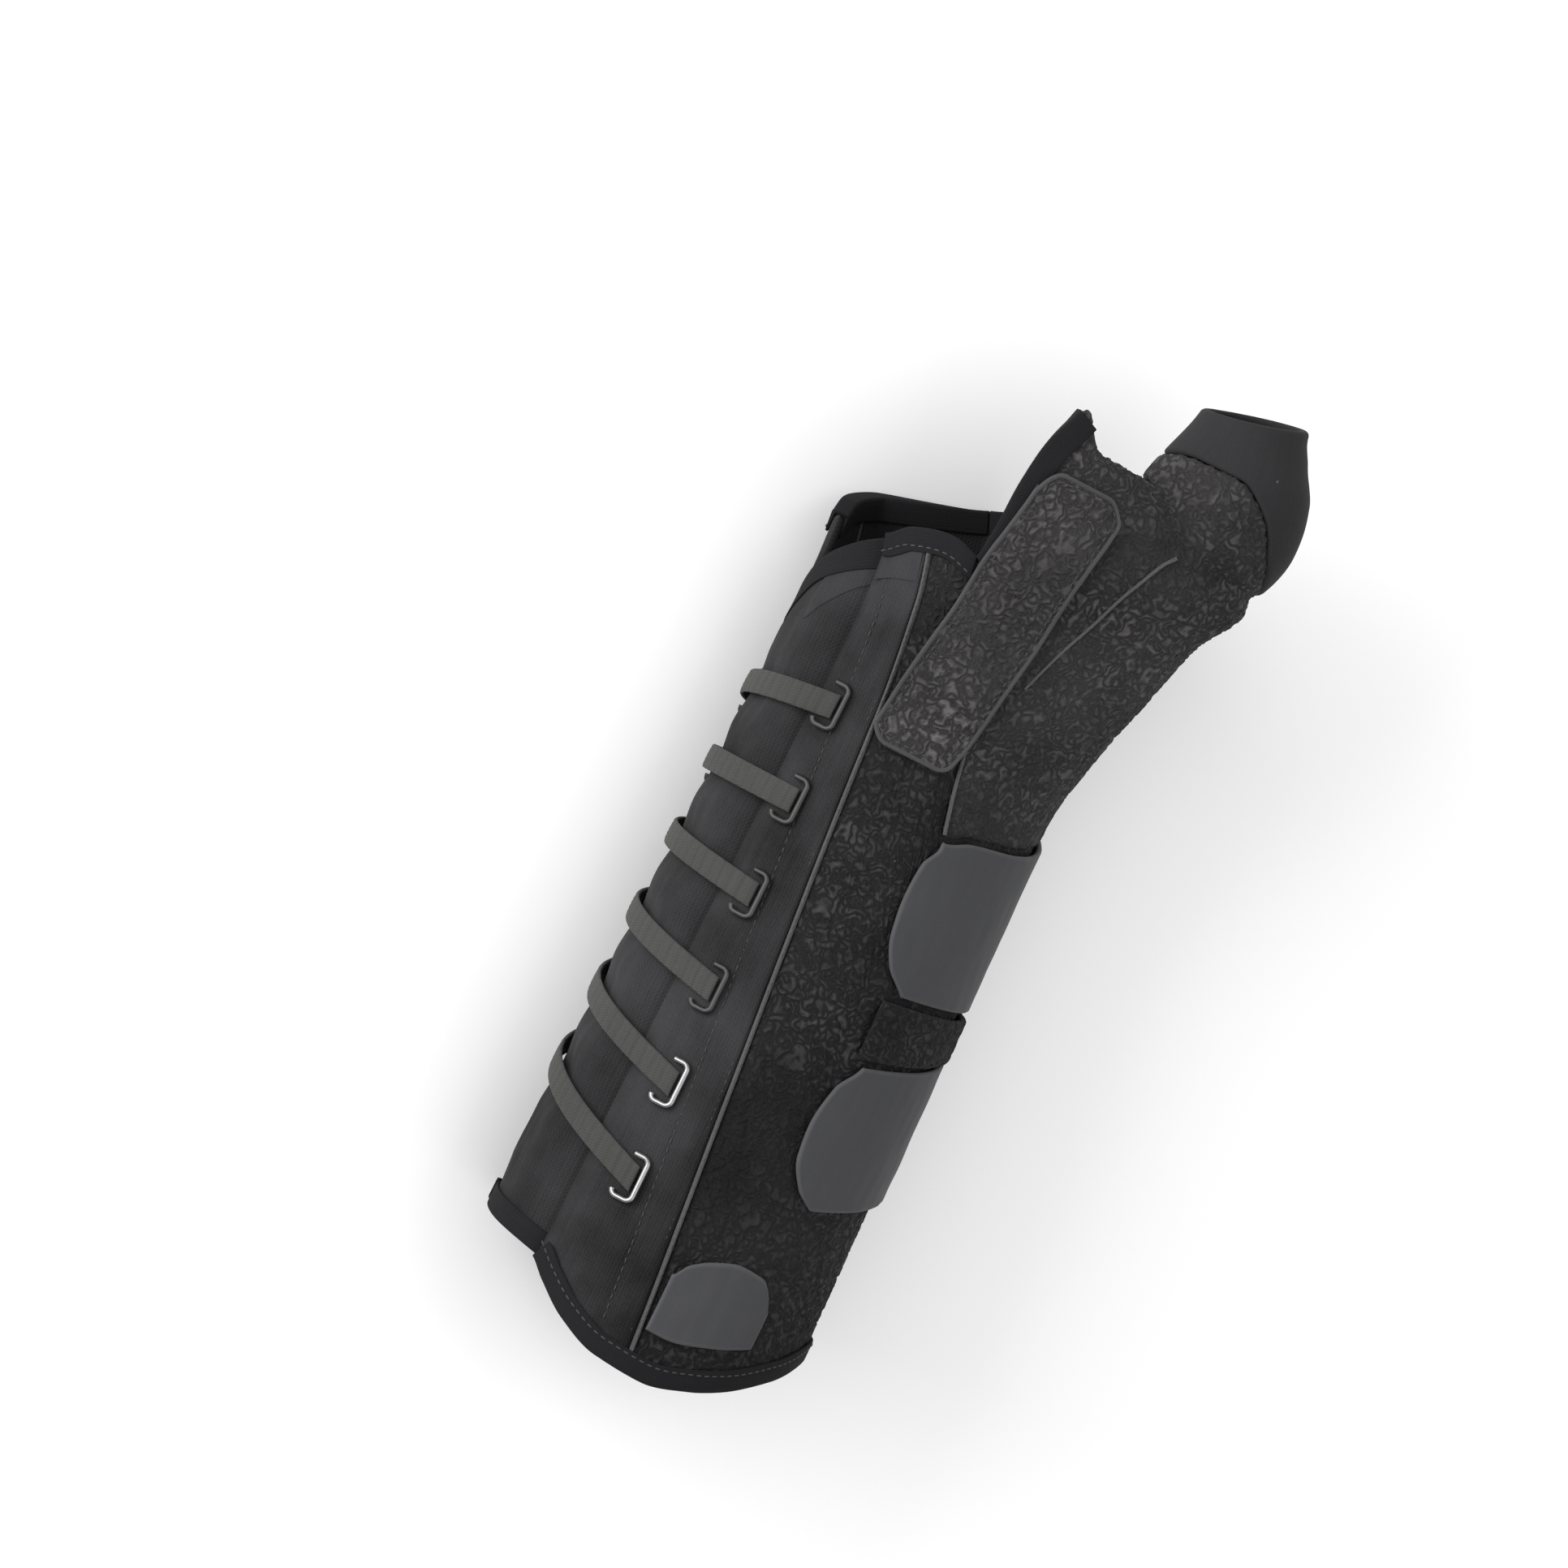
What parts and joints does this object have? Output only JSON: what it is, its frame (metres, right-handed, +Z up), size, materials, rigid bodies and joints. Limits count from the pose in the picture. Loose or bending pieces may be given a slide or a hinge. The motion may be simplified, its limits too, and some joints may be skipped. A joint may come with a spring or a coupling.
{
  "type": "thumb spica splint",
  "caption": "Black laced wrist and thumb splint for a left hand: padded cuff, thumb gauntlet, web strap, pull tabs, wire loops and flat laces, lying on its little-finger side.",
  "frame": {"origin": "middle of the bounding box, on the surface that the splint rests on", "axes": "+Y along the forearm toward the hand, +Z up to the thumb side, +X toward the palm side"},
  "size_m": [0.1024, 0.2842, 0.0856],
  "materials": {
    "pile_fabric": "matte looped pile",
    "smooth_fabric": "matte smooth knit",
    "tongue_fabric": "matte knit",
    "neoprene": "soft matte knit over foam",
    "binding_tape": "stretch binding tape",
    "tab_fabric": "smooth short-nap cloth",
    "lace": "flat woven lace",
    "welt": "stitched welt",
    "wire": "bent steel wire"
  },
  "bodies": {
    "root": {"body_wrap": "pile_fabric", "radial_lacing_panel": "smooth_fabric", "ulnar_lacing_panel": "smooth_fabric", "tongue": "tongue_fabric", "thumb_gauntlet": "pile_fabric", "thumb_sleeve": "neoprene", "radial_seam_welt": "welt", "ulnar_seam_welt": "welt", "web_strap": "pile_fabric", "upper_tab": "tab_fabric", "keeper_band": "pile_fabric", "middle_tab": "tab_fabric", "lower_tab": "tab_fabric", "proximal_tape": "binding_tape", "distal_tape": "binding_tape", "radial_loop_1": "wire", "radial_loop_2": "wire", "radial_loop_3": "wire", "radial_loop_4": "wire", "radial_loop_5": "wire", "radial_loop_6": "wire", "ulnar_loop_1": "wire", "ulnar_loop_2": "wire", "ulnar_loop_3": "wire", "ulnar_loop_4": "wire", "ulnar_loop_5": "wire", "ulnar_loop_6": "wire", "lace_1": "lace", "lace_2": "lace", "lace_3": "lace", "lace_4": "lace", "lace_5": "lace", "lace_6": "lace"}
  },
  "joints": []
}
